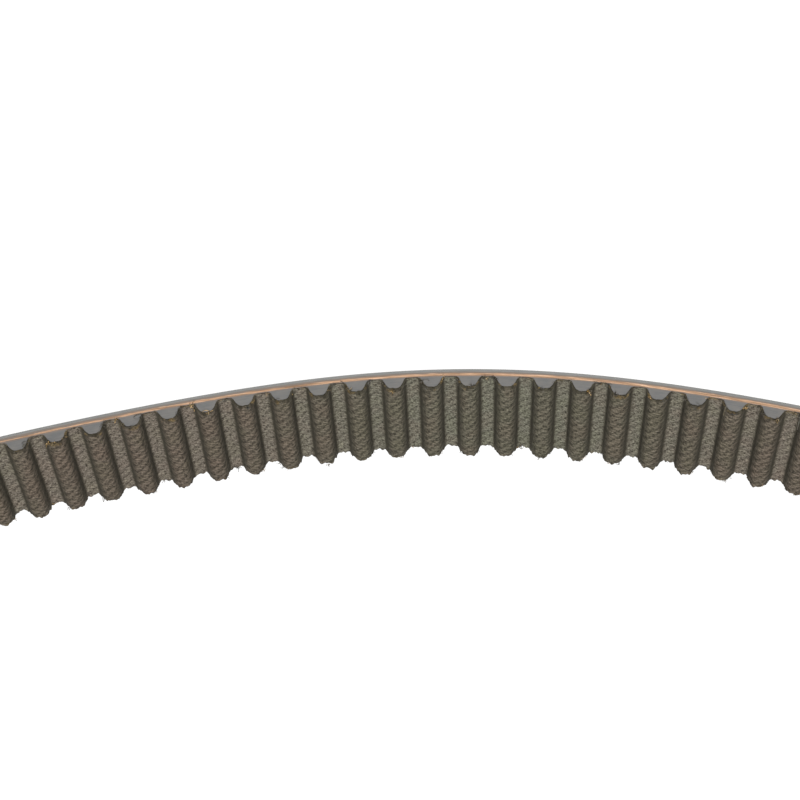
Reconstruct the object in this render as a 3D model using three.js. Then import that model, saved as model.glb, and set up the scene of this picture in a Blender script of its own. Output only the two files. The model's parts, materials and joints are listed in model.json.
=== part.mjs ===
// Endless timing belt, standing on one cut edge in the loose oval that it takes up off the machine.
// Millimetres, +Z up. The origin is the middle of the loop, at the height of the lower cut edge.
//
// A moulded belt has four layers: a rubber backing, a band of tensile cords on the pitch line,
// rubber teeth, and a woven facing over the teeth. It only bends at the lands, the thin strips
// between two teeth. Here ten teeth at a time are one stiff span, each with its own piece of every
// layer, and the spans hinge on the pitch line in the middle of a land.
import * as THREE from "three";

// Driving dimensions.
const PITCH = 8; // from tooth to tooth along the pitch line
const TEETH = 140;
const WIDTH = 27; // between the two cut edges
const TEETH_PER_SPAN = 10;
const SPANS_PER_ARM = 6; // spans on each side of the root span, which is twice as long

// The loop's curvature is that of a circle times 1 + sum(share * cos(wave * angle)).
// Even waves alone make the second half of the loop the first half turned by 180 degrees.
const WAVES = [
  { wave: 2, share: -0.6 }, // long oval
  { wave: 6, share: 0.43 }, // slight bulge in the middle of the long sides
];

// Layers, measured outwards from the pitch line, which is the middle of the cords.
const CORD_DIAMETER = 0.95;
const BACKING_THICKNESS = 0.7;
const LAND_RUBBER = 0.1; // skin of rubber between the cords and the facing at a land
const FACING_THICKNESS = 0.45;
const BOND = 0.03; // parting line between one layer and the next
const HINGE_GAP = 0.6; // between the ends of two spans, so that they can turn

// Tooth outline on the outside of the facing: half width, and height above the land.
const TOOTH_HEIGHT = 2.85;
const TOOTH_OUTLINE = [
  { half: 2.7, height: 0 },
  { half: 1.9, height: 0.6 * TOOTH_HEIGHT },
  { half: 1.1, height: TOOTH_HEIGHT },
];

const CORD_FACE = CORD_DIAMETER / 2;
const BACKING_INNER = CORD_FACE + BOND;
const BACKING_OUTER = BACKING_INNER + BACKING_THICKNESS;
const RUBBER_TOP = -CORD_FACE - BOND;
const RUBBER_LAND = RUBBER_TOP - LAND_RUBBER;
const FACING_INNER = RUBBER_LAND - BOND;
const FACING_LAND = FACING_INNER - FACING_THICKNESS;

// Direction of the pitch line along one tooth, going anticlockwise from the middle of a long side.
function heading(tooth) {
  const angle = (2 * Math.PI * tooth) / TEETH;
  const swing = WAVES.reduce((sum, w) => sum + (w.share / w.wave) * Math.sin(w.wave * angle), 0);
  return Math.PI + angle + swing;
}

// Middle of the land before each tooth, on the pitch line, with the loop's centre at the origin.
const landCentres = [new THREE.Vector2()];
for (let tooth = 0; tooth < TEETH - 1; tooth++) {
  const step = new THREE.Vector2(PITCH, 0).rotateAround(new THREE.Vector2(), heading(tooth));
  landCentres.push(landCentres[tooth].clone().add(step));
}
const loopCentre = landCentres[0].clone().add(landCentres[TEETH / 2]).multiplyScalar(0.5);
landCentres.forEach((point) => point.sub(loopCentre));

const landBefore = (tooth) => landCentres[((tooth % TEETH) + TEETH) % TEETH];
const along = (tooth) => new THREE.Vector2(Math.cos(heading(tooth)), Math.sin(heading(tooth)));
const outward = (tooth) => new THREE.Vector2(Math.sin(heading(tooth)), -Math.cos(heading(tooth)));

// A point beside one tooth: its distance past the land before the tooth, and its offset outwards.
function besideTooth(tooth, distance, offset) {
  return landBefore(tooth)
    .clone()
    .addScaledVector(along(tooth), distance)
    .addScaledVector(outward(tooth), offset);
}

// A point at the land before a tooth, on the mitre between the two straight pitches that meet there.
function atLand(tooth, offset) {
  const mitre = outward(tooth - 1).add(outward(tooth)).normalize();
  const reach = offset / mitre.dot(outward(tooth));
  return landBefore(tooth).clone().addScaledVector(mitre, reach);
}

// A face that follows the pitch line at one offset, from the first tooth of a span to its last.
function plainFace(first, count, offset) {
  const last = first + count - 1;
  const face = [besideTooth(first, HINGE_GAP / 2, offset)];
  for (let tooth = first + 1; tooth <= last; tooth++) face.push(atLand(tooth, offset));
  face.push(besideTooth(last, PITCH - HINGE_GAP / 2, offset));
  return face;
}

// The tooth outline moved inwards by a depth: each side keeps its slope, and each corner its mitre.
function sunkOutline(depth) {
  const middleOfLand = { half: PITCH / 2, height: 0 };
  const middleOfTip = { half: 0, height: TOOTH_HEIGHT };
  const corners = [middleOfLand, ...TOOTH_OUTLINE, middleOfTip];
  return TOOTH_OUTLINE.map((corner, index) => {
    const before = corners[index];
    const after = corners[index + 2];
    const normal = (a, b) => new THREE.Vector2(b.height - a.height, a.half - b.half).normalize();
    const first = normal(before, corner);
    const second = normal(corner, after);
    const mitre = first.clone().add(second).normalize();
    mitre.multiplyScalar(depth / mitre.dot(second));
    return { half: corner.half - mitre.x, height: corner.height - mitre.y };
  });
}

// A face that follows the teeth, sunk into them by a depth from the outside of the facing.
function toothedFace(first, count, depth) {
  const land = FACING_LAND + depth;
  const rising = sunkOutline(depth).map((corner) => ({
    half: corner.half,
    offset: FACING_LAND - corner.height,
  }));
  const face = [besideTooth(first, HINGE_GAP / 2, land)];
  for (let tooth = first; tooth < first + count; tooth++) {
    if (tooth > first) face.push(atLand(tooth, land));
    for (const c of rising) face.push(besideTooth(tooth, PITCH / 2 - c.half, c.offset));
    for (const c of [...rising].reverse()) {
      face.push(besideTooth(tooth, PITCH / 2 + c.half, c.offset));
    }
  }
  face.push(besideTooth(first + count - 1, PITCH - HINGE_GAP / 2, land));
  return face;
}

// One layer of one span: the strip between an outer and an inner face, as wide as the belt.
function layer(name, material, outerFace, innerFace) {
  const outline = new THREE.Shape([...outerFace, ...innerFace.reverse()]);
  const strip = new THREE.ExtrudeGeometry(outline, { depth: WIDTH, bevelEnabled: false });
  const mesh = new THREE.Mesh(strip, material);
  mesh.name = name;
  return mesh;
}

const materials = {
  backing: new THREE.MeshStandardMaterial({ color: 0x6f7072, roughness: 0.62, metalness: 0 }),
  cords: new THREE.MeshStandardMaterial({ color: 0xc08b66, roughness: 0.7, metalness: 0 }),
  toothRubber: new THREE.MeshStandardMaterial({ color: 0x707174, roughness: 0.6, metalness: 0 }),
  facing: new THREE.MeshStandardMaterial({ color: 0x5f5a4e, roughness: 0.95, metalness: 0 }),
};

function backing(label, first, count) {
  const outer = plainFace(first, count, BACKING_OUTER);
  const inner = plainFace(first, count, BACKING_INNER);
  return layer(`backing_${label}`, materials.backing, outer, inner);
}

function tensileCords(label, first, count) {
  const outer = plainFace(first, count, CORD_FACE);
  const inner = plainFace(first, count, -CORD_FACE);
  return layer(`tensile_cords_${label}`, materials.cords, outer, inner);
}

function toothRubber(label, first, count) {
  const outer = plainFace(first, count, RUBBER_TOP);
  const inner = toothedFace(first, count, FACING_THICKNESS + BOND);
  return layer(`tooth_rubber_${label}`, materials.toothRubber, outer, inner);
}

function facingFabric(label, first, count) {
  const outer = toothedFace(first, count, FACING_THICKNESS);
  const inner = toothedFace(first, count, 0);
  return layer(`facing_fabric_${label}`, materials.facing, outer, inner);
}

function span(label, first, count) {
  const group = new THREE.Group();
  for (const make of [backing, tensileCords, toothRubber, facingFabric]) {
    group.add(make(label, first, count));
  }
  return group;
}

// The root span straddles the point an eighth of the way round, where the bend never changes as
// the loop is squeezed. Arm a goes on anticlockwise from it and arm b clockwise, and they meet at
// the far side, where the bend never changes either, so the loop stays closed.
const belt = new THREE.Group();
const rootTeeth = 2 * TEETH_PER_SPAN;
const rootFirst = (TEETH / 4 + 1 - rootTeeth) / 2;
belt.add(span("root", rootFirst, rootTeeth));
for (let number = 1; number <= SPANS_PER_ARM; number++) {
  const beyond = rootFirst + rootTeeth + (number - 1) * TEETH_PER_SPAN;
  const ahead = rootFirst - number * TEETH_PER_SPAN;
  belt.add(span(`a${number}`, beyond, TEETH_PER_SPAN));
  belt.add(span(`b${number}`, ahead, TEETH_PER_SPAN));
}

export default belt;
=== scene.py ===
# %% [markdown]
# # A moulded timing belt, standing on edge
#
# The belt is an endless strip of rubber with teeth on its inside. It has four layers: a rubber
# backing, glass cords that carry the pull, rubber teeth, and a nylon fabric over the teeth. The CAD
# model gives the loop, the layers and the places where it bends. This script gives every layer its
# real surface: the crimped fabric, the cut edges, and the threads that fray out of them.

# %% Load the frame
import json
import math
import random

import bmesh
import bpy
from mathutils import Matrix, Vector


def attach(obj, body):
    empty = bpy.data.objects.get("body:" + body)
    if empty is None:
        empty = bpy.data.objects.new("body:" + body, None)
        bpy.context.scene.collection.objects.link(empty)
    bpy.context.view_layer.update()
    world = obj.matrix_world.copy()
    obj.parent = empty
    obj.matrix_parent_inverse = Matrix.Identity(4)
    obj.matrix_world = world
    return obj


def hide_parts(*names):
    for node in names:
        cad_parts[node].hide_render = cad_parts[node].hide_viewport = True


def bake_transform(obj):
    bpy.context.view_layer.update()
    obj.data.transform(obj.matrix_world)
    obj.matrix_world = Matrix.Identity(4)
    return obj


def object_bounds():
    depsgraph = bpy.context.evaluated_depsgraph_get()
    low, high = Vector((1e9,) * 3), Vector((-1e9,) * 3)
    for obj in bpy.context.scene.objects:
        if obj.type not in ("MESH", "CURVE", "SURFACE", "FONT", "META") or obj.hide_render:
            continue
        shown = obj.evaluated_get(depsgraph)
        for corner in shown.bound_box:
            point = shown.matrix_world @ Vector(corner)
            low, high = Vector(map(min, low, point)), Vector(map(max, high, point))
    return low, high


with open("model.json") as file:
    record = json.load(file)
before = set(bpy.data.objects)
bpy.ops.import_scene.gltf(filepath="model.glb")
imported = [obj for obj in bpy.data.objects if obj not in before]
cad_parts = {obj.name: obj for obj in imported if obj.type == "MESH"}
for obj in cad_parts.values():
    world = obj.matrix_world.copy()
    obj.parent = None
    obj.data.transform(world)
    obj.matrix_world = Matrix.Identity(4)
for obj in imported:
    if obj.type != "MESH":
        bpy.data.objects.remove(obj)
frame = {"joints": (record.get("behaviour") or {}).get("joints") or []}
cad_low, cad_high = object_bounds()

MM = 0.001
joints = frame["joints"]
print("CAD box in mm:", [round(side / MM, 1) for side in cad_high - cad_low])

# %% [markdown]
# ## The belt's driving sizes
#
# A belt is cut from a sleeve that was wound and moulded in layers, so every layer has one thickness
# all the way round, and the tooth is the only shape that repeats. Everything below is worked out
# from the pitch, the number of teeth and the offsets of the layers from the pitch line. The belt is
# first modelled straight, with x along it, y towards the inside of the loop and z across its width.

# %% Sizes of the straight belt
PITCH = 8 * MM
TEETH = 140
BELT_LENGTH = PITCH * TEETH
WIDTH = cad_high.z - cad_low.z

CORD_FACE = 0.475 * MM  # the cords reach this far to both sides of the pitch line
BACK_FACE = 1.205 * MM  # the back of the belt, outside the pitch line
LAND_FACE = 1.085 * MM  # the fabric between the teeth, inside the pitch line
TOOTH_HEIGHT = 2.85 * MM
TIP_FACE = LAND_FACE + TOOTH_HEIGHT

TEETH_PER_PIECE = 10
PIECE_LENGTH = PITCH * TEETH_PER_PIECE
PIECES = TEETH // TEETH_PER_PIECE
print("belt length in mm:", round(BELT_LENGTH / MM), "in", PIECES, "pieces")

# %% [markdown]
# ## The pitch line
#
# Off the machine the belt springs into a loose oval. Its curvature is that of a circle times one
# plus two waves, one that makes the oval and one that flattens its corners. A curve object follows
# that line, and later a Curve modifier bends each straight piece onto it, as a sleeve is bent over
# a drum. The loop is cut into pieces in the middle of the CAD model's stiff spans, so that each
# piece has one hinge in its middle.

# %% Draw the pitch line
WAVES = {2: -0.6, 6: 0.43}
LOOP_START = 2.5 * PITCH - 6 * PIECE_LENGTH  # first cut, measured from the middle of a long side
STEP = 1 * MM


def heading(distance):
    """Direction of the pitch line, going anticlockwise from the middle of a long side."""
    angle = 2 * math.pi * distance / BELT_LENGTH
    return math.pi + angle + sum(s / wave * math.sin(wave * angle) for wave, s in WAVES.items())


def pitch_points(start, steps):
    """Points a step apart along the pitch line, beginning at the origin."""
    points = [Vector((0, 0, 0))]
    for number in range(steps):
        direction = heading(start + (number + 0.5) * STEP)
        points.append(points[-1] + STEP * Vector((math.cos(direction), math.sin(direction), 0)))
    return points


lap = pitch_points(LOOP_START, round(BELT_LENGTH / STEP))
middle = (lap[0] + lap[len(lap) // 2]) / 2
lap = [point - middle for point in lap]


def on_pitch_line(distance):
    """The point of the pitch line at a distance from the middle of the long side."""
    return lap[round((distance - LOOP_START) % BELT_LENGTH / STEP)]


pitch_line = bpy.data.objects.new("pitch_line", bpy.data.curves.new("pitch_line", "CURVE"))
bpy.context.scene.collection.objects.link(pitch_line)
pitch_line.data.dimensions = "2D"
spline = pitch_line.data.splines.new("POLY")
spline.points.add(len(lap) - 1)
for spline_point, point in zip(spline.points, lap):
    spline_point.co = (*point, 1)
pitch_line.hide_render = True

hinges = {joint["child"]: Vector(joint["pos_m"]) for joint in joints}
furthest = max(min((h.xy - p.xy).length for p in lap) for h in hinges.values())
print("CAD hinges lie on the pitch line to within", round(furthest / MM, 2), "mm")

# %% [markdown]
# ## Small helpers
#
# Each one is a thing done often by hand: select one object, go into edit mode, pick out faces by
# where they are, and apply a modifier.


# %% Selection and modifiers
def pick(obj):
    """Makes obj the only selected object, and the active one."""
    bpy.ops.object.select_all(action="DESELECT")
    obj.select_set(True)
    bpy.context.view_layer.objects.active = obj


def select(obj, kind, rule):
    """In edit mode, selects the vertices, edges or faces that pass a rule, and counts them."""
    bpy.ops.mesh.select_mode(type=kind)
    bpy.ops.mesh.select_all(action="DESELECT")
    mesh = bmesh.from_edit_mesh(obj.data)
    found = {"VERT": mesh.verts, "EDGE": mesh.edges, "FACE": mesh.faces}[kind]
    chosen = [part for part in found if rule(part)]
    for part in chosen:
        part.select_set(True)
    bmesh.update_edit_mesh(obj.data)
    return len(chosen)


def apply_modifier(obj, kind, **settings):
    """Adds a modifier to obj and applies it."""
    pick(obj)
    modifier = obj.modifiers.new(kind.lower(), kind)
    for name, value in settings.items():
        setattr(modifier, name, value)
    bpy.ops.object.modifier_apply(modifier=modifier.name)


def edge_vector(edge):
    return edge.verts[1].co - edge.verts[0].co


def across_belt(edge):
    """Whether an edge runs across the belt, along z."""
    return abs(edge_vector(edge).z) > 0.9 * edge.calc_length() > 0


# %% [markdown]
# ## The tooth, as one bent sheet
#
# On the mould the fabric and the rubber are pressed into grooves, so the fabric's face, the seam
# between fabric and rubber and the rubber tooth are the same curve at different depths. That curve
# is modelled once as a sheet: a narrow plane for half a land, whose far edge is extruded up the
# flank, over the tip and down again. Bevels on the extruded edges give the fillet at the root
# and the round shoulders of the tip. A profile drawn as a curve would give the same line, but the
# walk keeps every corner where a bevel can take hold of it.

# %% Walk a sheet over one tooth
ROOT_HALF = 2.7 * MM
SHOULDER_HALF = 1.95 * MM
TIP_HALF = 1.15 * MM
SHOULDER_RISE = 0.6 * TOOTH_HEIGHT
ROOT_ROUND = 0.55 * MM  # how far a bevel reaches from a corner at the root
TIP_ROUND = 0.6 * MM  # and from one at the tip
TOOTH_WALK = [
    (ROOT_HALF - SHOULDER_HALF, SHOULDER_RISE),
    (SHOULDER_HALF - TIP_HALF, TOOTH_HEIGHT - SHOULDER_RISE),
    (2 * TIP_HALF, 0),
    (SHOULDER_HALF - TIP_HALF, SHOULDER_RISE - TOOTH_HEIGHT),
    (ROOT_HALF - SHOULDER_HALF, -SHOULDER_RISE),
    (PITCH / 2 - ROOT_HALF, 0),
]


def tooth_sheet(name, segments):
    """A sheet over one pitch, from the middle of a land to the middle of the next."""
    land = PITCH / 2 - ROOT_HALF
    bpy.ops.object.select_all(action="DESELECT")
    bpy.ops.mesh.primitive_plane_add(
        size=1, location=(land / 2, LAND_FACE, WIDTH / 2), rotation=(math.pi / 2, 0, 0)
    )
    sheet = bpy.context.object
    sheet.name = name
    sheet.scale = (land, WIDTH, 1)
    bpy.ops.object.transform_apply(location=True, rotation=True, scale=True)
    bpy.ops.object.mode_set(mode="EDIT")
    select(sheet, "EDGE", lambda e: across_belt(e) and e.verts[0].co.x > land / 2)
    for along, inwards in TOOTH_WALK:
        bpy.ops.mesh.extrude_region_move(
            TRANSFORM_OT_translate={"value": (along, inwards, 0)}
        )
    tip = TIP_FACE - 0.01 * MM
    root = LAND_FACE + 0.01 * MM
    inner = lambda e: across_belt(e) and 0.1 * MM < e.verts[0].co.x < PITCH - 0.1 * MM
    select(sheet, "EDGE", lambda e: inner(e) and e.verts[0].co.y > tip)
    bpy.ops.mesh.bevel(offset=TIP_ROUND, segments=segments, affect="EDGES")
    select(sheet, "EDGE", lambda e: inner(e) and e.verts[0].co.y < root)
    bpy.ops.mesh.bevel(offset=ROOT_ROUND, segments=segments, affect="EDGES")
    bpy.ops.object.mode_set(mode="OBJECT")
    return sheet


def divide_along(sheet, longest):
    """Divides the stretches of a sheet that are longer than this along the belt."""
    bpy.ops.object.mode_set(mode="EDIT")
    mesh = bmesh.from_edit_mesh(sheet.data)
    lengths = {round(e.calc_length() / MM, 2) for e in mesh.edges if not across_belt(e)}
    for length in sorted(lengths):
        cuts = math.ceil(length * MM / longest) - 1
        if cuts > 0:
            same = lambda e: not across_belt(e) and round(e.calc_length() / MM, 2) == length
            select(sheet, "EDGE", same)
            bpy.ops.mesh.subdivide(number_cuts=cuts)
    bpy.ops.object.mode_set(mode="OBJECT")


# %% [markdown]
# ## The facing fabric of one tooth
#
# The facing is a stretchy nylon weave, soaked in rubber so that it bonds. It is thin on the lands
# and thicker over the tips, where the mould gathers it. The walked sheet is the side that shows.
# Extruding the whole sheet gives it a second side, which is then drawn in towards the middle of the
# tooth, so the thickness grows towards the tip by itself. Only the side that shows is divided
# finely, because its crimp is real relief and the hidden side needs none.

# %% Model one tooth of fabric
FABRIC_STEP = 0.3 * MM  # mesh size on the fabric's face: about half a crimp
SEAM_NARROWER = 0.88  # the seam with the rubber, as a share of the tooth's width
SEAM_LOWER = 0.87  # and of its height
SEAM_LAND = 0.62 * MM  # the seam at a land, inside the pitch line
TOOTH_MIDDLE = PITCH / 2


def draw_in(narrower, lower, land):
    """In edit mode, turns the selected copy of the tooth's face into the seam under the fabric."""
    centre = (TOOTH_MIDDLE, LAND_FACE, 0)
    bpy.ops.transform.resize(value=(narrower, lower, 1), center_override=centre)
    bpy.ops.transform.translate(value=(0, land - LAND_FACE, 0))


def straighten_ends(obj, face_y):
    """Puts the ends of the drawn-in side back over the middles of the lands."""
    for side, place in ((-1, 0), (1, PITCH)):
        edge = TOOTH_MIDDLE + side * TOOTH_MIDDLE * SEAM_NARROWER
        at_end = lambda v: abs(v.co.x - edge) < 0.001 * MM and v.co.y < face_y
        select(obj, "VERT", at_end)
        bpy.ops.transform.translate(value=(place - edge, 0, 0))


def open_ends(obj):
    """Deletes the two faces that the next tooth will meet."""
    on_end = lambda f: all(v.co.x < 1e-6 for v in f.verts) or all(
        v.co.x > PITCH - 1e-6 for v in f.verts
    )
    select(obj, "FACE", on_end)
    bpy.ops.mesh.delete(type="FACE")


def place_key(co):
    """Where a line across the belt stands, in thousandths of a millimetre."""
    return round(co.x / MM, 3), round(co.y / MM, 3)


fabric_tooth = tooth_sheet("fabric_tooth", segments=4)
divide_along(fabric_tooth, FABRIC_STEP)
face_line = {place_key(vertex.co) for vertex in fabric_tooth.data.vertices}
bpy.ops.object.mode_set(mode="EDIT")
bpy.ops.mesh.select_all(action="SELECT")
bpy.ops.mesh.extrude_region_move()
draw_in(SEAM_NARROWER, SEAM_LOWER, SEAM_LAND)
straighten_ends(fabric_tooth, LAND_FACE - 0.1 * MM)
open_ends(fabric_tooth)
select(fabric_tooth, "EDGE", lambda e: across_belt(e) and place_key(e.verts[0].co) in face_line)
bpy.ops.mesh.subdivide(number_cuts=round(WIDTH / FABRIC_STEP) - 1)
bpy.ops.object.mode_set(mode="OBJECT")
print("fabric of one tooth:", len(fabric_tooth.data.polygons), "faces")

# %% [markdown]
# ## Where the fabric is rough
#
# Fabric that was stretched over a tooth and let go again shrinks back in fine wrinkles that run
# along the belt, while on the lands the weave lies flat and only looks grainy. At the two cut edges
# the knife tears the threads, so the edge is ragged. Vertex groups say how much of each kind of
# roughness a vertex gets. They are weighed on one tooth, and the rows made from it inherit them.

# %% Weigh the wrinkles, the grain and the ragged cuts
CUT_DEPTH = 2 * MM  # how far in from a cut edge the tearing pulls the threads about
WRINKLE_START = 0.9 * MM  # wrinkles begin this far above the land


def weigh(obj, name, rule):
    """Makes a vertex group whose weight at each vertex is given by a rule of its place."""
    group = obj.vertex_groups.new(name=name)
    for vertex in obj.data.vertices:
        weight = rule(vertex.co)
        if weight > 0:
            group.add([vertex.index], min(weight, 1), "REPLACE")


def rise_share(co):
    """0 at the land and 1 from the tooth's shoulder up, on the side of the fabric that shows."""
    if place_key(co) not in face_line:
        return 0
    return (co.y - LAND_FACE - WRINKLE_START) / (SHOULDER_RISE - WRINKLE_START)


def grain_share(co):
    """1 on the land, falling to a third on the tooth, on the side of the fabric that shows."""
    if place_key(co) not in face_line:
        return 0
    return 1 - min(1, (co.y - LAND_FACE) / SHOULDER_RISE) * 2 / 3


weigh(fabric_tooth, "wrinkles", rise_share)
weigh(fabric_tooth, "grain", grain_share)
weigh(fabric_tooth, "lower_cut", lambda co: 1 - co.z / CUT_DEPTH)
weigh(fabric_tooth, "upper_cut", lambda co: 1 - (WIDTH - co.z) / CUT_DEPTH)
weigh(fabric_tooth, "worn_corner", lambda co: rise_share(co) * (1 - co.z / CUT_DEPTH))
print("weighed groups:", [group.name for group in fabric_tooth.vertex_groups])

# %% [markdown]
# ## Rows of ten teeth
#
# An Array modifier sets ten teeth in a row and welds them, and the two open ends are closed. The
# seam between two pieces then lies in the middle of a land, where nothing happens.


# %% Repeat a tooth and close the row
def close_ends(row):
    """Closes the two open ends of a row of teeth."""
    bpy.ops.object.mode_set(mode="EDIT")
    for near in (lambda x: x < PITCH, lambda x: x > PITCH):
        select(row, "EDGE", lambda e: e.is_boundary and near(e.verts[0].co.x))
        bpy.ops.mesh.edge_face_add()
    bpy.ops.mesh.select_all(action="SELECT")
    bpy.ops.mesh.normals_make_consistent(inside=False)
    bpy.ops.object.mode_set(mode="OBJECT")


def row_of(tooth, name):
    """Repeats one tooth along a piece of belt, joined into one closed strip."""
    tooth.name = name
    apply_modifier(
        tooth,
        "ARRAY",
        count=TEETH_PER_PIECE,
        use_relative_offset=False,
        use_constant_offset=True,
        constant_offset_displace=(PITCH, 0, 0),
        use_merge_vertices=True,
        merge_threshold=0.002 * MM,
    )
    close_ends(tooth)
    print(name, "row:", len(tooth.data.polygons), "faces")
    return tooth


fabric_row = row_of(fabric_tooth, "fabric_row")

# %% [markdown]
# ## The rubber of the teeth
#
# The rubber fills the fabric, and only its two cut sides show, between the cord line and the
# fabric. It starts from the same walked sheet, drawn in to just under the seam. Extruding the sheet
# and flattening the copy onto the cords closes it.

# %% Model the rubber teeth
BOND = 0.015 * MM  # parting line between two layers

rubber_tooth = tooth_sheet("rubber_tooth", segments=3)
bpy.ops.object.mode_set(mode="EDIT")
bpy.ops.mesh.select_all(action="SELECT")
draw_in(SEAM_NARROWER, SEAM_LOWER, SEAM_LAND - BOND)
straighten_ends(rubber_tooth, LAND_FACE)
bpy.ops.mesh.select_all(action="SELECT")
bpy.ops.mesh.extrude_region_move()
under_cords = CORD_FACE + BOND
bpy.ops.transform.resize(value=(1, 0, 1), center_override=(0, under_cords, 0))
open_ends(rubber_tooth)
bpy.ops.object.mode_set(mode="OBJECT")
rubber_row = row_of(rubber_tooth, "rubber_row")

# %% [markdown]
# ## The cords and the backing
#
# Both are plain bands. The cords lie side by side under the backing, so all that shows of them is
# the line where the knife has sliced the outermost one lengthwise. Each band starts from a cube and
# is divided along the belt, so that it can bend, and the cords' two cut faces are divided across
# too, for the relief of the sliced filaments.


# %% Model the two bands
def band(name, outer, inner, step):
    """A straight band between two offsets from the pitch line, divided along the belt."""
    bpy.ops.object.select_all(action="DESELECT")
    bpy.ops.mesh.primitive_cube_add(
        size=1, location=(PIECE_LENGTH / 2, (outer + inner) / 2, WIDTH / 2)
    )
    made = bpy.context.object
    made.name = name
    made.scale = (PIECE_LENGTH, inner - outer, WIDTH)
    bpy.ops.object.transform_apply(location=True, rotation=True, scale=True)
    bpy.ops.object.mode_set(mode="EDIT")
    select(made, "EDGE", lambda e: abs(edge_vector(e).x) > PIECE_LENGTH / 2)
    bpy.ops.mesh.subdivide(number_cuts=round(PIECE_LENGTH / step) - 1)
    bpy.ops.object.mode_set(mode="OBJECT")
    return made


cord_row = band("cord_row", -CORD_FACE, CORD_FACE, 0.5 * MM)
bpy.ops.object.mode_set(mode="EDIT")
select(cord_row, "EDGE", lambda e: abs(edge_vector(e).y) > CORD_FACE)
bpy.ops.mesh.subdivide(number_cuts=9)
bpy.ops.object.mode_set(mode="OBJECT")
weigh(cord_row, "cuts", lambda co: 1 if min(co.z, WIDTH - co.z) < CUT_DEPTH else 0)

backing_row = band("backing_row", -BACK_FACE, -CORD_FACE - BOND, 2 * MM)
bpy.ops.object.mode_set(mode="EDIT")
outer_edge = lambda e: abs(edge_vector(e).x) > MM and e.verts[0].co.y < -BACK_FACE + BOND
select(backing_row, "EDGE", outer_edge)
bpy.ops.mesh.bevel(offset=0.1 * MM, segments=2, affect="EDGES")
bpy.ops.object.mode_set(mode="OBJECT")
print("bands:", len(cord_row.data.polygons), "and", len(backing_row.data.polygons), "faces")

# %% [markdown]
# ## Relief textures
#
# A Displace modifier reads its texture in the space of an empty, so stretching the empty stretches
# the pattern: one unit of the texture is as long as the empty's scale. Wrinkles are longer along
# the belt than across it, and sliced filaments are many times as long as they are wide. Cloud noise
# suits all of them but the lower cut. Threads are torn out there in round clumps, and Voronoi cells
# have such round fronts. One relief has no texture: it draws the tips of the teeth back a little at
# the lower cut, where their corners are worn.


# %% Set up the relief
def relief_space(name, size, turn):
    """An empty whose scale is the size of one lump of relief along, through and across the belt."""
    empty = bpy.data.objects.new(name, None)
    bpy.context.scene.collection.objects.link(empty)
    empty.scale = size
    empty.rotation_euler.z = turn
    return empty


def cloud(name, basis, depth):
    """A cloud texture whose lumps are one unit long."""
    texture = bpy.data.textures.new(name, "CLOUDS")
    texture.noise_basis = basis
    texture.noise_depth = depth
    texture.noise_scale = 1
    return texture


def relief(name, basis, depth, size, direction, strength, mid_level=0.5, turn=0.0):
    """The settings of a Displace modifier for one kind of relief."""
    return {
        "texture_coords": "OBJECT",
        "texture": cloud(name, basis, depth),
        "texture_coords_object": relief_space(name, size, turn),
        "direction": direction,
        "strength": strength,
        "mid_level": mid_level,
    }


SMOOTH = "BLENDER_ORIGINAL"
ROUND = "VORONOI_F1"
WRINKLE = (1.4 * MM, 2 * MM, 0.6 * MM)
GRAIN = (0.45 * MM, MM, 0.55 * MM)
CLUMP = (1.1 * MM, 1.1 * MM, MM)
TEAR = (0.8 * MM, 0.8 * MM, MM)
SLICED_FILAMENT = (7 * MM, 0.16 * MM, MM)

RELIEFS = {
    "worn_corner": {"direction": "Y", "strength": -0.3 * MM, "mid_level": 0},
    "wrinkles": relief("wrinkles", SMOOTH, 1, WRINKLE, "Y", 0.26 * MM),
    "grain": relief("grain", SMOOTH, 1, GRAIN, "Y", 0.3 * MM),
    "lower_cut": relief("lower_cut", ROUND, 2, CLUMP, "Z", 2.6 * MM),
    "upper_cut": relief("upper_cut", SMOOTH, 2, TEAR, "Z", -0.8 * MM, mid_level=0.4),
    "cuts": relief("cuts", SMOOTH, 1, SLICED_FILAMENT, "Z", 0.12 * MM, turn=0.01),
}
bpy.context.view_layer.update()
print("reliefs:", list(RELIEFS))

# %% [markdown]
# ## Fourteen pieces round the loop
#
# Each layer's straight row is copied fourteen times. A copy is moved along to its own stretch of
# belt first, so the relief textures, which stay where they are, give every tooth its own wrinkles.
# Before it is roughened and bent, a copy keeps its straight place in an attribute, which the
# materials read later: a pattern that follows the straight belt can't swim when the belt bends.


# %% Copy, roughen and bend a piece
def piece_of(row, name, number):
    """A copy of a straight row, moved to its stretch of the belt, roughened and bent."""
    pick(row)
    bpy.ops.object.duplicate()
    piece = bpy.context.object
    piece.name = name
    bpy.ops.transform.translate(value=(number * PIECE_LENGTH, 0, 0))
    bpy.ops.object.transform_apply(location=True, rotation=True, scale=True)
    straight = piece.data.attributes.new("straight", "FLOAT_VECTOR", "POINT")
    places = [0.0] * (3 * len(piece.data.vertices))
    piece.data.vertices.foreach_get("co", places)
    straight.data.foreach_set("vector", places)
    for group in [g.name for g in piece.vertex_groups if g.name in RELIEFS]:
        apply_modifier(piece, "DISPLACE", vertex_group=group, **RELIEFS[group])
    apply_modifier(piece, "CURVE", object=pitch_line, deform_axis="POS_X")
    bpy.ops.object.shade_smooth_by_angle(angle=math.radians(60))
    return piece
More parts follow.
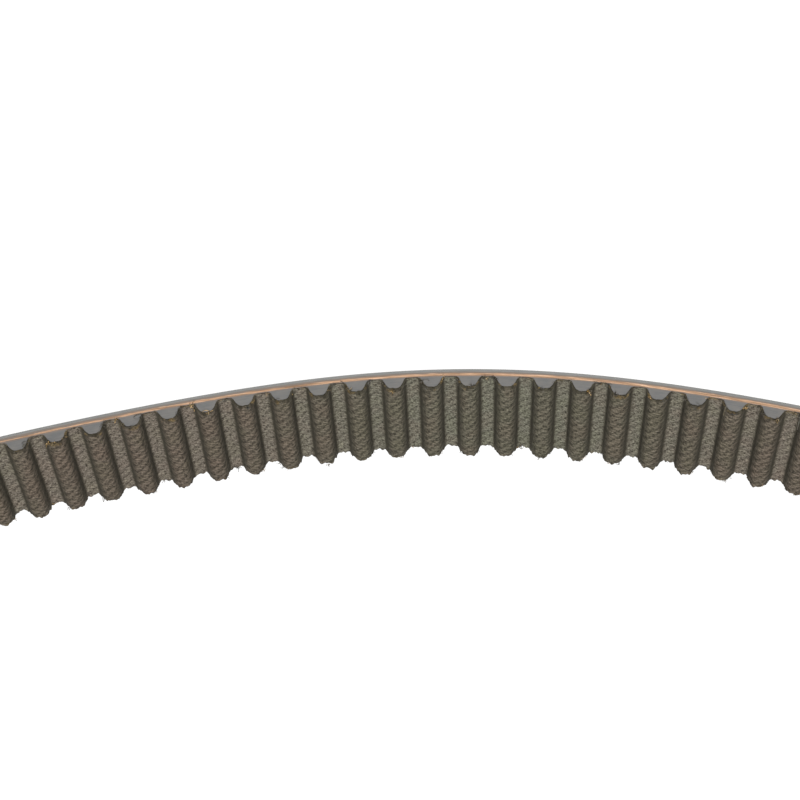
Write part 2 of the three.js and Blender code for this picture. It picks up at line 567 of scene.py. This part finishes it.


# %% [markdown]
# ## What each piece moves with
#
# A piece that rode on one span alone would leave a kink at the hinge. A piece with a hinge in its
# middle is left fixed where it lies, on no span. Two pieces have no hinge. One lies on the middle
# of the root span and rides on it. The other covers the seam, where two spans meet that always
# move as one, so it rides on either of them.


# %% Hold a piece
def joint_near(distance):
    """The joint whose hinge stands at a distance along the pitch line, if there is one."""
    place = on_pitch_line(distance).xy
    near = [j for j in joints if (Vector(j["pos_m"]).xy - place).length < PITCH / 2]
    return near[0] if near else None


def hold(piece, number):
    """Fixes a hinged piece where it lies and ties any other to a span; gives the span it stands in
    for.
    """
    centre = LOOP_START + (number + 0.5) * PIECE_LENGTH
    joint = joint_near(centre)
    if joint:
        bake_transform(piece)
        return joint["child"]
    if number == 0:
        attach(piece, "span_b6")  # the piece on the seam
        return None
    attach(piece, "span_root")
    return "span_root"


# %% Make the four layers
LAYERS = {
    "backing": ("backing_rubber", backing_row),
    "tensile_cords": ("tensile_cord", cord_row),
    "tooth_rubber": ("tooth_rubber", rubber_row),
    "facing_fabric": ("facing_fabric", fabric_row),
}
pieces = {layer: [] for layer in LAYERS}
for layer, (slot, row) in LAYERS.items():
    for number in range(PIECES):
        piece = piece_of(row, f"{layer}_piece_{number:02d}", number)
        span = hold(piece, number)
        if span:
            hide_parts(layer + span.removeprefix("span"))
        pieces[layer].append(piece)
    bpy.data.objects.remove(row)
    print(layer, "pieces have", len(pieces[layer][0].data.polygons), "faces each")

for settings in RELIEFS.values():
    if "texture" in settings:
        bpy.data.objects.remove(settings["texture_coords_object"])

# %% [markdown]
# ## Frayed threads
#
# The knife cuts the rubber cleanly and tears the fabric, so short nylon filaments stand out of the
# fabric at both cut edges, in tufts, and here and there a longer one curls away. A particle system
# could grow them, but they would grow from the rubber too. Three filaments are modelled here, each a
# thin cylinder that is divided and turned a little more at every ring, and copies of them are set
# along the fabric's cut edges.


# %% Model three filaments
def filament(name, length, thickness, rings, curl):
    """A filament that stands on the origin and curls over towards y."""
    bpy.ops.object.select_all(action="DESELECT")
    bpy.ops.mesh.primitive_cylinder_add(
        vertices=3, radius=thickness / 2, depth=length, location=(0, 0, length / 2)
    )
    made = bpy.context.object
    made.name = name
    bpy.ops.object.transform_apply(location=True, rotation=True, scale=True)
    bpy.ops.object.mode_set(mode="EDIT")
    select(made, "EDGE", lambda e: abs(edge_vector(e).z) > length / 2)
    bpy.ops.mesh.subdivide(number_cuts=rings - 1)
    ring_length = length / rings
    tagged = {}
    mesh = bmesh.from_edit_mesh(made.data)
    for vertex in mesh.verts:
        tagged[vertex.index] = round(vertex.co.z / ring_length)
    for ring in range(1, rings):
        count = select(made, "VERT", lambda v: tagged[v.index] > ring)
        middle_of_ring = [v.co for v in mesh.verts if tagged[v.index] == ring]
        centre = sum(middle_of_ring, Vector()) / len(middle_of_ring)
        if count:
            bpy.ops.transform.rotate(value=curl / rings, orient_axis="X", center_override=centre)
    bpy.ops.object.mode_set(mode="OBJECT")
    return made


FILAMENT = 0.12 * MM  # about four times a real filament's thickness, so that it can be seen
stub = filament("stub", 0.8 * MM, FILAMENT, rings=3, curl=0.9)
hook = filament("hook", 1.7 * MM, FILAMENT, rings=5, curl=2.4)
loop = filament("loop", 5 * MM, 1.6 * FILAMENT, rings=10, curl=4.6)
print("filaments have", [len(f.data.polygons) for f in (stub, hook, loop)], "faces")

# %% [markdown]
# ## Scatter the filaments
#
# The copies are set on the straight belt and bent onto the pitch line with it. Each tooth gets a
# few tufts on each cut edge, most of them on the tooth, where the fabric is thickest. Each filament
# carries a random number in an attribute, from which its material picks a thread colour.

# %% Places and turns for the filaments
random.seed(8)
UPPER_TUFTS = 4  # on the upper cut edge of one tooth
LOWER_TUFTS = 3
FILAMENTS_PER_TUFT = 12  # at most
LOOP_SHARE = 0.015  # loops among all the filaments
HOOK_SHARE = 0.16  # loops and hooks together
edge_line = sorted(face_line)
shapes = {
    shape: (
        [vertex.co.copy() for vertex in shape.data.vertices],
        [list(polygon.vertices) for polygon in shape.data.polygons],
    )
    for shape in (stub, hook, loop)
}


def fabric_point(depth):
    """A random point of the fabric's cut edge over one tooth, from its face (0) to its seam (1)."""
    along, inwards = (value * MM for value in random.choice(edge_line))
    seam_along = TOOTH_MIDDLE + (along - TOOTH_MIDDLE) * SEAM_NARROWER
    seam_inwards = SEAM_LAND + (inwards - LAND_FACE) * SEAM_LOWER
    return Vector((along, inwards, 0)).lerp(Vector((seam_along, seam_inwards, 0)), depth)


def stand(upper):
    """A random turn for a filament on the upper or lower cut edge, leaning out of the fabric."""
    lean = Matrix.Rotation(random.gauss(-0.7, 0.5), 4, "X")
    around = Matrix.Rotation(random.gauss(0, 1.0), 4, "Z")
    up = Matrix.Identity(4) if upper else Matrix.Rotation(math.pi, 4, "Y")
    return up @ around @ lean


# %% Fray one piece of belt
def fray(name, number):
    """All the filaments of one piece of belt, as one mesh."""
    points, faces, shades = [], [], []
    for tooth in range(TEETH_PER_PIECE):
        start = number * PIECE_LENGTH + tooth * PITCH
        for upper, tufts in ((True, UPPER_TUFTS), (False, LOWER_TUFTS)):
            for _tuft in range(tufts):
                root = fabric_point(random.random())
                shade = random.random()
                size = random.uniform(0.5, 1.1) if upper else random.uniform(0.4, 0.8)
                for _one in range(random.randint(2, FILAMENTS_PER_TUFT)):
                    draw = random.random()
                    shape = loop if draw < LOOP_SHARE else hook if draw < HOOK_SHARE else stub
                    spread = Vector((random.gauss(0, 0.16), random.gauss(0, 0.12), 0)) * MM
                    foot = root + spread + Vector((start, 0, 0))
                    foot.z = WIDTH - 0.15 * MM if upper else 0.3 * MM
                    place = Matrix.Translation(foot) @ stand(upper)
                    grow = size * random.uniform(0.6, 1.3)
                    corners, sides = shapes[shape]
                    first = len(points)
                    points += [place @ (corner * grow) for corner in corners]
                    faces += [[first + index for index in side] for side in sides]
                    one_shade = min(1, max(0, shade + random.gauss(0, 0.12)))
                    shades += [one_shade] * len(corners)
    mesh = bpy.data.meshes.new(name)
    mesh.from_pydata(points, [], faces)
    mesh.attributes.new("shade", "FLOAT", "POINT").data.foreach_set("value", shades)
    piece = bpy.data.objects.new(name, mesh)
    bpy.context.scene.collection.objects.link(piece)
    apply_modifier(piece, "CURVE", object=pitch_line, deform_axis="POS_X")
    for vertex in mesh.vertices:
        vertex.co.z = max(vertex.co.z, 0)  # no filament reaches below the lower cut edge
    return piece


# %% Fray the whole belt
pieces["frayed_threads"] = []
for number in range(PIECES):
    fringe = fray(f"frayed_threads_piece_{number:02d}", number)
    hold(fringe, number)
    pieces["frayed_threads"].append(fringe)
for shape in (stub, hook, loop):
    bpy.data.objects.remove(shape)
print("frayed threads:", sum(len(p.data.polygons) for p in pieces["frayed_threads"]), "faces")

# %% [markdown]
# ## Materials: how they are written
#
# All colours are sRGB values, as a paint chart gives them, and one function turns them to the
# linear values that a shader wants. One more function adds a node with its settings and links.
# Every pattern reads the straight belt's coordinates, so its sizes are real sizes along the belt,
# through it and across it.


# %% Node helpers
def colour(value):
    """An sRGB hex colour as the linear colour of a shader socket."""
    channels = [int(value[i : i + 2], 16) / 255 for i in (1, 3, 5)]
    linear = [c / 12.92 if c <= 0.04045 else ((c + 0.055) / 1.055) ** 2.4 for c in channels]
    return (*linear, 1)


def add(tree, kind, sockets=None, **settings):
    """Adds a node, with settings, and with values or links for its input sockets."""
    made = tree.nodes.new("ShaderNode" + kind)
    for name, value in settings.items():
        setattr(made, name, value)
    for socket, value in (sockets or {}).items():
        if isinstance(value, bpy.types.NodeSocket):
            tree.links.new(value, made.inputs[socket])
        else:
            made.inputs[socket].default_value = value
    return made


def new_material(name, roughness, specular):
    """An empty material and its Principled shader."""
    material = bpy.data.materials.new(name)
    material.use_nodes = True
    tree = material.node_tree
    tree.nodes.clear()
    shader = add(tree, "BsdfPrincipled", {"Roughness": roughness, "Specular IOR Level": specular})
    output = add(tree, "OutputMaterial")
    tree.links.new(shader.outputs[0], output.inputs[0])
    return material, tree, shader


def lumps(tree, place, along, inwards, across, detail=2.0, rough=0.5):
    """A noise whose lumps have these real sizes along, through and across the belt."""
    scale = (1 / along, 1 / inwards, 1 / across)
    stretched = add(tree, "Mapping", {"Vector": place, "Scale": scale}).outputs[0]
    sockets = {"Vector": stretched, "Scale": 1.0, "Detail": detail, "Roughness": rough}
    return add(tree, "TexNoise", sockets).outputs[0]


def ramp(tree, value, *stops):
    """Colours along a value: each stop is a position and an sRGB hex colour."""
    made = add(tree, "ValToRGB", {"Fac": value})
    elements = made.color_ramp.elements
    while len(elements) < len(stops):
        elements.new(0.5)
    for element, (position, tone) in zip(elements, stops):
        element.position = position
        element.color = colour(tone)
    return made.outputs[0]


def mix(tree, share, first, second, blend_type="MIX"):
    """Mixes two colours by a share, or by a blend of that strength."""
    made = add(tree, "MixRGB", {0: share, 1: first, 2: second}, blend_type=blend_type)
    return made.outputs[0]


def steps(tree, value, low, high, start=0.0, end=1.0):
    """Maps a value from between low and high to between start and end, and holds it there."""
    sockets = {"Value": value, "From Min": low, "From Max": high, "To Min": start, "To Max": end}
    return add(tree, "MapRange", sockets).outputs[0]


def calculate(tree, operation, *values):
    """One step of arithmetic."""
    return add(tree, "Math", dict(enumerate(values)), operation=operation).outputs[0]


# %% [markdown]
# ## Facing fabric: crimped nylon weave, soaked in rubber
#
# The thread is nylon, which is pale, and the rubber that soaks it is dark, so the crowns of the
# weave show light and the hollows nearly black. On the lands the crowns are worn bright and grainy.
# Over a tooth the weave is drawn tight and lies in wrinkles that run along the belt, darker and
# browner. The flanks are darkest: this is painted shade, for the grooves beside the lands. At the
# cuts the threads are dry and have the golden tint of bare nylon.
#
# The weave could be real threads, but a belt has thousands of them. A twill worked out from
# the straight belt's coordinates gives their order, and a wandering offset their crimp.

# %% Two-over-one twill
THREAD = 0.85 * MM  # from thread to thread, both ways: coarser than a real yarn, so that it shows
TWILL = 3  # a thread goes over two and under one, and the next thread does so one thread further on


def twill(tree, place):
    """1 on the crown of a float and 0 in the pits, for a two-over-one twill."""
    along, _inwards, across = add(tree, "SeparateXYZ", {0: place}).outputs
    threads_along = calculate(tree, "DIVIDE", along, THREAD)
    threads_across = calculate(tree, "DIVIDE", across, THREAD)
    row = calculate(tree, "FLOOR", threads_across)
    repeat = calculate(tree, "DIVIDE", calculate(tree, "ADD", threads_along, row), TWILL)
    float_share = steps(tree, calculate(tree, "FRACT", repeat), 0, 0.8)
    lengthways = calculate(tree, "SINE", calculate(tree, "MULTIPLY", float_share, math.pi))
    row_share = calculate(tree, "MULTIPLY", calculate(tree, "FRACT", threads_across), math.pi)
    crossways = calculate(tree, "SINE", row_share)
    return calculate(tree, "POWER", calculate(tree, "MULTIPLY", lengthways, crossways), 0.6)


# %% Threads: light crowns and dark pits
fabric, tree, shader = new_material("crimped_nylon_weave", roughness=0.95, specular=0.08)
straight = add(tree, "Attribute", attribute_name="straight").outputs["Vector"]
along, inwards, across = add(tree, "SeparateXYZ", {0: straight}).outputs
wander = add(tree, "TexNoise", {"Vector": straight, "Scale": 1 / (1.5 * MM), "Detail": 2.0})
wander = add(tree, "VectorMath", {0: wander.outputs[1], 1: (0.5, 0.5, 0.5)}, operation="SUBTRACT")
wander = add(tree, "VectorMath", {0: wander.outputs[0], "Scale": 1.6 * MM}, operation="SCALE")
crimped = add(tree, "VectorMath", {0: straight, 1: wander.outputs[0]}).outputs[0]
floats = twill(tree, crimped)
grit = lumps(tree, straight, 0.42 * MM, 1.0 * MM, 0.4 * MM, detail=2, rough=0.7)
grit = steps(tree, grit, 0.32, 0.68)
rise = steps(tree, inwards, LAND_FACE + 0.9 * MM, LAND_FACE + 2.2 * MM)
grit_share = steps(tree, rise, 0, 1, 0.7, 0.58)
weave = mix(tree, grit_share, floats, grit)
land_tone = ramp(tree, weave, (0.1, "#2b2822"), (0.45, "#534f47"), (0.9, "#736f63"))
tooth_tone = ramp(tree, weave, (0.1, "#26231d"), (0.5, "#48433a"), (0.95, "#655e53"))
tone = mix(tree, rise, land_tone, tooth_tone)

# %% Rubber in the cloth: stains, a slow drift of colour, and painted shade on the flanks
DRIFT = BELT_LENGTH / 7  # the rubber in the cloth drifts from olive to brown and back over this
OLIVE_AT = 454 * MM  # where it is most olive, counted from where the first piece begins

patch = lumps(tree, straight, 5 * MM, 9 * MM, 7 * MM, detail=1)
stain = ramp(tree, patch, (0.36, "#7c8272"), (0.5, "#808080"), (0.64, "#8a7a78"))
tone = mix(tree, 0.3, tone, stain, "OVERLAY")
from_olive = calculate(tree, "SUBTRACT", along, OLIVE_AT)
drift = calculate(tree, "COSINE", calculate(tree, "MULTIPLY", from_olive, 2 * math.pi / DRIFT))
dye = mix(tree, steps(tree, drift, -1, 1), colour("#fff8f9"), colour("#f9fffb"))
tone = mix(tree, 1.0, tone, dye, "MULTIPLY")
# Painted shade: the flanks are darkened, most near their foot beside the land, where the groove lies
# in shade, and less up towards the tip.
into_flank = steps(tree, inwards, LAND_FACE + 0.02 * MM, LAND_FACE + 0.36 * MM)
out_of_flank = steps(tree, inwards, LAND_FACE + 1.2 * MM, LAND_FACE + 2.8 * MM, 1, 0)
flank_shade = calculate(tree, "MULTIPLY", into_flank, out_of_flank)
tone = mix(tree, flank_shade, tone, mix(tree, 0.85, tone, colour("#302d25")))

# %% Cut edges: dark in the cut itself, and dry golden threads beside it here and there
from_cut = calculate(tree, "MINIMUM", across, calculate(tree, "SUBTRACT", WIDTH, across))
# The cut face itself is painted near-black: partly the dark soaked cloth, partly painted shade
# standing in for the shadow of the frayed fibres over the cut.
on_cut = steps(tree, from_cut, 0.02 * MM, 0.08 * MM, 0.5, 0.0)
tone = mix(tree, on_cut, tone, colour("#1f1c14"))
torn = lumps(tree, straight, 0.5 * MM, 0.4 * MM, 0.5 * MM, detail=2, rough=0.7)
some_places = steps(tree, lumps(tree, straight, 2.4 * MM, 1.5 * MM, 30 * MM), 0.55, 0.65)
near_cut = steps(tree, from_cut, 0.1 * MM, 0.7 * MM, 1.0, 0.0)
bare = calculate(tree, "MULTIPLY", calculate(tree, "MULTIPLY", some_places, near_cut), 0.6)
dry_thread = ramp(tree, torn, (0.38, "#2f281b"), (0.5, "#4a3e28"), (0.62, "#655537"))
tone = mix(tree, bare, tone, dry_thread)
bump = add(tree, "Bump", {"Height": weave, "Strength": 0.8, "Distance": 0.2 * MM})
tree.links.new(tone, shader.inputs["Base Color"])
tree.links.new(bump.outputs[0], shader.inputs["Normal"])

# %% [markdown]
# ## Cut rubber and ground rubber
#
# Both rubbers are a black-filled compound. A knife leaves it smooth and pale grey with faint drag
# lines along the belt. Close to the cords it is browner, since the knife drags their red-brown dip
# over it. The back is ground flat after moulding, which leaves it matt and darker, with fine
# scratches across the belt, and its two edges are knife-cut too. Real scratches and drag lines are
# finer than the ones drawn here.

# %% Knife-cut rubber of the teeth
tooth_cut, tree, shader = new_material("knife_cut_rubber", roughness=0.75, specular=0.1)
straight = add(tree, "Attribute", attribute_name="straight").outputs["Vector"]
drag = lumps(tree, straight, 5 * MM, 0.12 * MM, 5 * MM, detail=2)
cloudy = lumps(tree, straight, 2.2 * MM, 1.2 * MM, 2 * MM, detail=2)
tone = ramp(tree, cloudy, (0.35, "#484847"), (0.65, "#504e4b"))
tone = mix(tree, 0.25, tone, ramp(tree, drag, (0.35, "#404143"), (0.65, "#585756")))
inwards = add(tree, "SeparateXYZ", {0: straight}).outputs[1]
dusty = steps(tree, inwards, CORD_FACE, CORD_FACE + 0.35 * MM, 0.5, 0.0)
tone = mix(tree, dusty, tone, colour("#6b5849"))
bump = add(tree, "Bump", {"Height": drag, "Strength": 0.3, "Distance": 0.03 * MM})
tree.links.new(tone, shader.inputs["Base Color"])
tree.links.new(bump.outputs[0], shader.inputs["Normal"])

# %% Ground rubber of the back
back, tree, shader = new_material("ground_rubber_back", roughness=0.75, specular=0.12)
straight = add(tree, "Attribute", attribute_name="straight").outputs["Vector"]
along, inwards, across = add(tree, "SeparateXYZ", {0: straight}).outputs
scratch = lumps(tree, straight, 0.25 * MM, 1 * MM, 4 * MM, detail=3, rough=0.6)
speck = lumps(tree, straight, 0.3 * MM, 1 * MM, 0.3 * MM, detail=2)
ground = ramp(tree, scratch, (0.35, "#262627"), (0.65, "#353535"))
ground = mix(tree, 0.3, ground, ramp(tree, speck, (0.4, "#202021"), (0.62, "#414140")))
cut = ramp(tree, lumps(tree, straight, 4 * MM, 0.2 * MM, 4 * MM), (0.35, "#545452"), (0.65, "#5c5b59"))
from_cut = calculate(tree, "MINIMUM", across, calculate(tree, "SUBTRACT", WIDTH, across))
tone = mix(tree, steps(tree, from_cut, 0.02 * MM, 0.1 * MM), cut, ground)
bump = add(tree, "Bump", {"Height": scratch, "Strength": 0.35, "Distance": 0.05 * MM})
tree.links.new(tone, shader.inputs["Base Color"])
tree.links.new(bump.outputs[0], shader.inputs["Normal"])

# %% [markdown]
# ## Sliced cord: resin-dipped glass filaments
#
# The cords are wound in a long helix, one S-twisted and one Z-twisted cord side by side. The knife
# goes straight round, so it meets each cord at a tiny angle and slices it lengthwise: the line is
# widest where it goes through the cord's middle and thins out where it leaves the cord. Rubber
# shows beside it. The dip is red-brown and the glass inside it shines through as peach streaks.

# %% Tensile cord
CORD_SPACING = 0.9 * MM
LINE_REACH = 0.36 * MM  # half the line's width where the knife goes through the middle of a cord
LINE_MIDDLE = 0.2 * MM  # the cords lie towards the teeth in their bed
WIDEST_AT = 352 * MM  # where the knife is in the middle of a cord, counted from the first piece on

cord, tree, shader = new_material("sliced_glass_cord", roughness=0.8, specular=0.08)
straight = add(tree, "Attribute", attribute_name="straight").outputs["Vector"]
along, inwards, across = add(tree, "SeparateXYZ", {0: straight}).outputs
turns = calculate(tree, "MULTIPLY_ADD", along, 2 / BELT_LENGTH, 0.5 - 2 * WIDEST_AT / BELT_LENGTH)
off_middle = calculate(tree, "SUBTRACT", calculate(tree, "FRACT", turns), 0.5)
off_middle = calculate(tree, "MULTIPLY", off_middle, CORD_SPACING)
chord = calculate(tree, "SUBTRACT", LINE_REACH**2, calculate(tree, "POWER", off_middle, 2))
half_line = calculate(tree, "SQRT", calculate(tree, "MAXIMUM", chord, 0))
uneven = lumps(tree, straight, 3 * MM, 0.5 * MM, 3 * MM, detail=3)
uneven = steps(tree, uneven, 0.3, 0.7, -0.1 * MM, 0.1 * MM)
from_line = calculate(tree, "ABSOLUTE", calculate(tree, "SUBTRACT", inwards, LINE_MIDDLE))
past_line = calculate(tree, "SUBTRACT", from_line, half_line)
past_line = calculate(tree, "ADD", past_line, uneven)
slanted = add(tree, "VectorRotate", {"Vector": straight, "Angle": 0.03}, rotation_type="Z_AXIS")
streak = lumps(tree, slanted.outputs[0], 5 * MM, 0.14 * MM, 5 * MM, detail=3, rough=0.6)
glass = ramp(
    tree, streak, (0.36, "#5a4636"), (0.48, "#78604c"), (0.58, "#8b6f58"), (0.68, "#9e846e")
)
tone = mix(tree, steps(tree, past_line, -0.03 * MM, 0.04 * MM), glass, colour("#595049"))
bump = add(tree, "Bump", {"Height": streak, "Strength": 0.5, "Distance": 0.06 * MM})
tree.links.new(tone, shader.inputs["Base Color"])
tree.links.new(bump.outputs[0], shader.inputs["Normal"])

# %% [markdown]
# ## Frayed filaments
#
# Bare nylon is pale gold. Filaments that kept their rubber are olive or nearly black, and crumbs of
# rubber cling to all of them.

# %% Filaments
thread, tree, shader = new_material("frayed_nylon_filament", roughness=0.6, specular=0.2)
shade = add(tree, "Attribute", attribute_name="shade").outputs["Fac"]
tone = ramp(
    tree,
    shade,
    (0.0, "#211e19"),
    (0.55, "#3b372d"),
    (0.8, "#51472f"),
    (0.9, "#745a2e"),
    (1.0, "#927850"),
)
place = add(tree, "TexCoord").outputs["Object"]
crumbs = steps(tree, lumps(tree, place, 0.3 * MM, 0.3 * MM, 0.3 * MM), 0.5, 0.65, 0.0, 0.8)
tree.links.new(mix(tree, crumbs, tone, colour("#211e19")), shader.inputs["Base Color"])

# %% Put the materials on
FINISHES = {
    "backing": back,
    "tensile_cords": cord,
    "tooth_rubber": tooth_cut,
    "facing_fabric": fabric,
    "frayed_threads": thread,
}
for layer, material in FINISHES.items():
    for piece in pieces[layer]:
        piece.data.materials.clear()
        piece.data.materials.append(material)
print("materials:", [material.name for material in FINISHES.values()])

# %% [markdown]
# ## Floor, light and camera
#
# The belt stands on a light table, whose opal glass glows evenly white, so that no shadow shows.
# Two soft boxes face each other over the loop and light both long sides, inside and outside. The
# camera stands over the inside of the loop and looks down at the teeth on the far side.

# %% Floor and light
bpy.ops.object.select_all(action="DESELECT")
bpy.ops.mesh.primitive_plane_add(size=6)
floor = bpy.context.object
floor.name = "floor"
floor.location.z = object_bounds()[0].z  # the belt stands on its torn threads
white, tree, shader = new_material("opal_glass", roughness=0.9, specular=0.0)
shader.inputs["Base Color"].default_value = colour("#404040")
shader.inputs["Emission Color"].default_value = (1, 1, 1, 1)
shader.inputs["Emission Strength"].default_value = 1.0
floor.data.materials.append(white)

world = bpy.data.worlds.new("studio")
bpy.context.scene.world = world
world.use_nodes = True
background = world.node_tree.nodes["Background"]
background.inputs["Color"].default_value = (1, 1, 1, 1)
direction = add(world.node_tree, "TexCoord").outputs["Generated"]
height = add(world.node_tree, "SeparateXYZ", {0: direction}).outputs[2]
glow = steps(world.node_tree, height, 0.2, 0.4, 1.0, 0.25)  # white walls, dim ceiling
world.node_tree.links.new(glow, background.inputs["Strength"])


def soft_box(name, place, aim, size, power):
    """A square area light that faces a point."""
    data = bpy.data.lights.new(name, "AREA")
    data.shape = "SQUARE"
    data.size = size
    data.energy = power
    light = bpy.data.objects.new(name, data)
    bpy.context.scene.collection.objects.link(light)
    light.location = place
    light.rotation_euler = (Vector(aim) - Vector(place)).to_track_quat("-Z", "Y").to_euler()


middle_far = Vector((0, cad_high.y - BACK_FACE, WIDTH / 2))
middle_near = Vector((0, cad_low.y + BACK_FACE, WIDTH / 2))
soft_box("front", (0, -0.38, 0.40), middle_far, size=0.25, power=9.6)
soft_box("rear", (0, 0.62, 0.28), middle_near, size=0.25, power=7)
bpy.context.scene.view_settings.view_transform = "Standard"

# %% Camera
HEADING = math.radians(3.86)
LOOK_DOWN = math.radians(56.64)
ROLL = math.radians(-3.3)
SENSOR_WIDTH = 36  # of a full-frame camera
FOCAL_LENGTH = 90.315  # a short telephoto, as for a still life
BESIDE_MIDDLE = Vector((1.1, -237.4, 364.8)) * MM  # from the middle of the far long side

camera = bpy.data.objects.new("camera", bpy.data.cameras.new("camera"))
bpy.context.scene.collection.objects.link(camera)
bpy.context.scene.camera = camera
camera.data.sensor_width = SENSOR_WIDTH
camera.data.lens = FOCAL_LENGTH
camera.data.clip_start = 0.01
camera.location = middle_far + BESIDE_MIDDLE
turn = Matrix.Rotation(HEADING, 4, "Z")
tilt = Matrix.Rotation(math.pi / 2 - LOOK_DOWN, 4, "X")
roll = Matrix.Rotation(ROLL, 4, "Z")
camera.rotation_euler = (turn @ tilt @ roll).to_euler()

# %% [markdown]
# ## Clearing up
#
# The curve has done its work, and is removed.

# %% Remove the pitch line
bpy.data.objects.remove(pitch_line)
